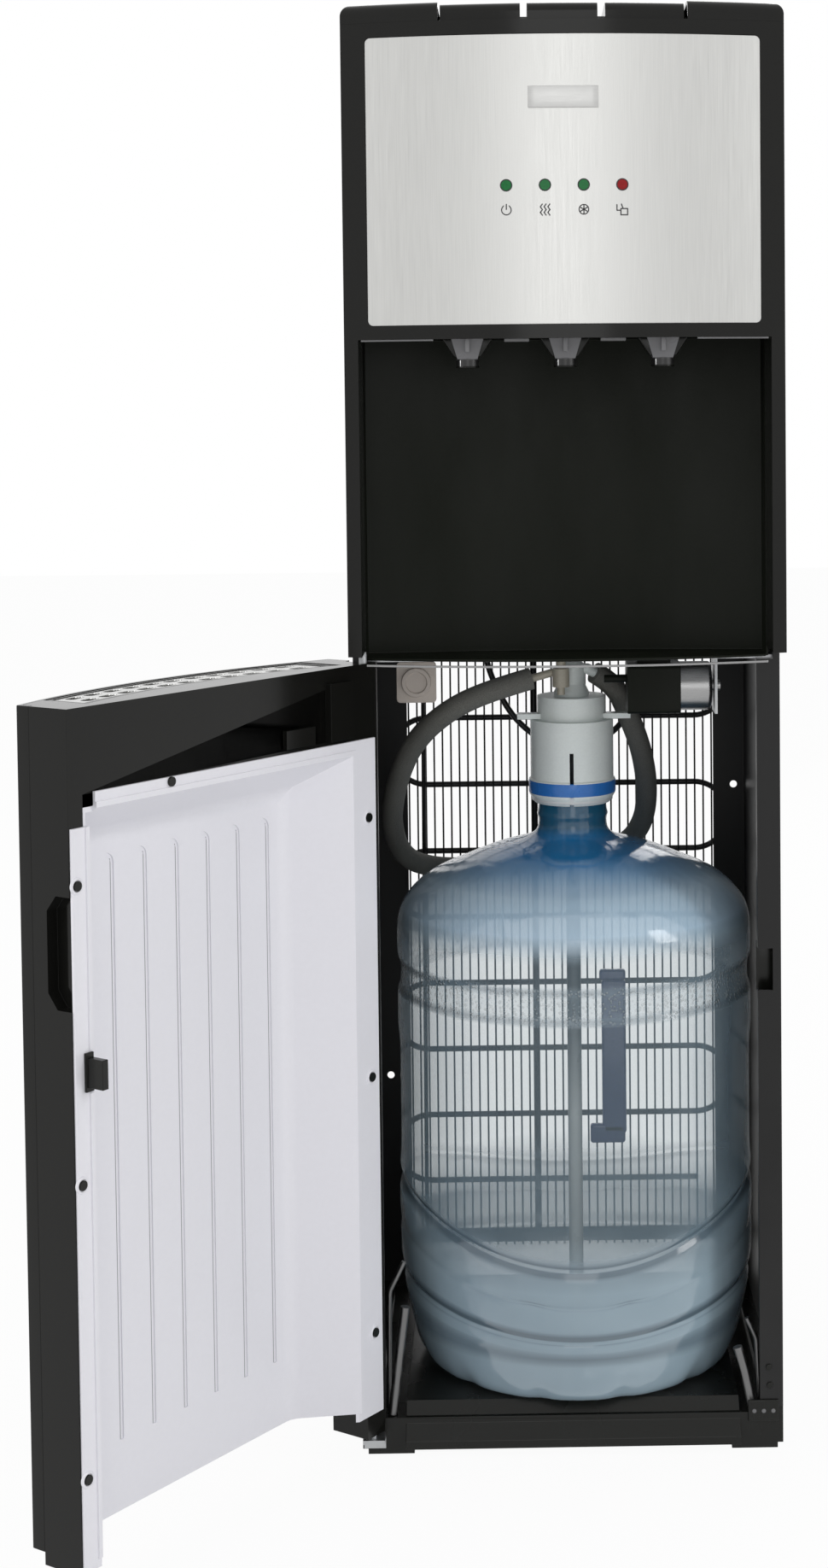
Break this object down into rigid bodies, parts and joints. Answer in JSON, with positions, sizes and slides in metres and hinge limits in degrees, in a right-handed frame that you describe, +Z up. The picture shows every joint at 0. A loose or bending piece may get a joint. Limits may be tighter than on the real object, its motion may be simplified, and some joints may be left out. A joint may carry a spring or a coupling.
{
  "type": "bottom load water cooler",
  "caption": "Floor-standing water cooler with a bottle bay behind a hinged door, a dispensing alcove with taps, top keys and a lift-out drip tray.",
  "frame": {"origin": "on the floor under the middle of the cabinet, at the base's middle pad", "axes": "+X to the cooler's right as a person faces it, +Y to the back, +Z up"},
  "size_m": [0.5068, 0.5461, 1.05],
  "materials": {
    "black_moulding": "satin",
    "gloss_black": "gloss",
    "black_sheet": "satin",
    "stainless": "brushed",
    "galvanised": "satin",
    "tank_steel": "satin",
    "foam": "matte",
    "compressor_black": "satin",
    "condenser_black": "satin",
    "liner_grey": "satin",
    "bottle_blue": "gloss",
    "cap_white": "satin",
    "tap_grey": "satin",
    "stem_white": "satin",
    "fitting_beige": "satin",
    "silicone": "matte",
    "hose_foam": "matte",
    "lamp_lens": "gloss"
  },
  "bodies": {
    "cabinet": {"alcove_liner": "black_moulding", "back_panel": "black_sheet", "band_heater": "galvanised", "base_pan": "black_moulding", "bottle_guides": "galvanised", "cap_collar": "cap_white", "cap_elbow": "cap_white", "cold_tank": "tank_steel", "cold_tank_jacket": "foam", "cold_tap": "tap_grey", "compressor": "compressor_black", "condenser_coil": "condenser_black", "condenser_wires": "condenser_black", "display_panel": "stainless", "drain_plug": "black_moulding", "equipment_shelf": "galvanised", "front_housing": "gloss_black", "hinge_brackets": "galvanised", "hose_fitting": "fitting_beige", "hot_tank": "tank_steel", "hot_tap": "tap_grey", "indicator_lenses": "lamp_lens", "insulated_hose": "hose_foam", "key_shaft": "galvanised", "left_side_panel": "black_sheet", "mains_gland": "black_moulding", "probe_cap": "cap_white", "probe_foot": "black_moulding", "probe_hanger": "cap_white", "probe_tube": "cap_white", "pump_bracket": "galvanised", "pump_head": "black_moulding", "pump_lead": "hose_foam", "pump_motor": "tank_steel", "refrigerant_lines": "condenser_black", "right_side_panel": "black_sheet", "room_tap": "tap_grey", "shelf_bolts": "galvanised", "switch_bezel": "black_moulding", "tank_shelf": "galvanised", "top_cover": "gloss_black", "water_bottle": "bottle_blue", "water_lines": "silicone"},
    "door": {"door_front": "black_moulding", "door_skin": "stainless", "door_frame": "black_moulding", "door_liner": "liner_grey", "liner_screws": "galvanised", "door_catch": "black_moulding"},
    "drip_tray": {"drip_tray": "black_moulding"},
    "drip_grille": {"drip_grille": "stainless"},
    "hot_key": {"hot_key": "gloss_black"},
    "room_key": {"room_key": "gloss_black"},
    "cold_key": {"cold_key": "gloss_black"},
    "child_lock": {"child_lock": "cap_white"},
    "hot_stem": {"hot_stem": "stem_white"},
    "room_stem": {"room_stem": "stem_white"},
    "cold_stem": {"cold_stem": "stem_white"},
    "heating_switch": {"heating_switch": "black_moulding"},
    "cooling_switch": {"cooling_switch": "black_moulding"}
  },
  "joints": [
    {"name": "door_hinge", "type": "hinge", "parent": "cabinet", "child": "door", "pos_m": [-0.147, -0.1175, 0.3], "axis": [0, 0, 1], "range_deg": [0, 125]},
    {"name": "tray_lift", "type": "slide", "parent": "door", "child": "drip_tray", "axis": [0, 0, 1], "range_m": [0, 0.03]},
    {"name": "grille_lift", "type": "slide", "parent": "drip_tray", "child": "drip_grille", "axis": [0, 0, 1], "range_m": [0, 0.025]},
    {"name": "hot_key_press", "type": "hinge", "parent": "cabinet", "child": "hot_key", "pos_m": [0, -0.095, 1.04], "axis": [1, 0, 0], "range_deg": [0, 3.4], "stiffness_Nm_per_rad": 0.5, "springref_deg": -5.73},
    {"name": "hot_stem_push", "type": "slide", "parent": "cabinet", "child": "hot_stem", "axis": [0, 0, -1], "range_m": [0, 0.0036]},
    {"name": "room_key_press", "type": "hinge", "parent": "cabinet", "child": "room_key", "pos_m": [0, -0.095, 1.04], "axis": [1, 0, 0], "range_deg": [0, 3.4], "stiffness_Nm_per_rad": 0.5, "springref_deg": -5.73},
    {"name": "room_stem_push", "type": "slide", "parent": "cabinet", "child": "room_stem", "axis": [0, 0, -1], "range_m": [0, 0.0036]},
    {"name": "cold_key_press", "type": "hinge", "parent": "cabinet", "child": "cold_key", "pos_m": [0, -0.095, 1.04], "axis": [1, 0, 0], "range_deg": [0, 3.4], "stiffness_Nm_per_rad": 0.5, "springref_deg": -5.73},
    {"name": "cold_stem_push", "type": "slide", "parent": "cabinet", "child": "cold_stem", "axis": [0, 0, -1], "range_m": [0, 0.0036]},
    {"name": "child_lock_slide", "type": "slide", "parent": "hot_key", "child": "child_lock", "axis": [0, 1, 0], "range_m": [0, 0.009]},
    {"name": "heating_switch_rock", "type": "hinge", "parent": "cabinet", "child": "heating_switch", "pos_m": [-0.012, 0.162, 0.9905], "axis": [1, 0, 0], "range_deg": [0, 16]},
    {"name": "cooling_switch_rock", "type": "hinge", "parent": "cabinet", "child": "cooling_switch", "pos_m": [0.012, 0.162, 0.9905], "axis": [1, 0, 0], "range_deg": [0, 16]}
  ],
  "couplings": [
    {"joint": "hot_stem_push", "follows": "hot_key_press", "m_per_rad": 0.06},
    {"joint": "room_stem_push", "follows": "room_key_press", "m_per_rad": 0.06},
    {"joint": "cold_stem_push", "follows": "cold_key_press", "m_per_rad": 0.06}
  ]
}
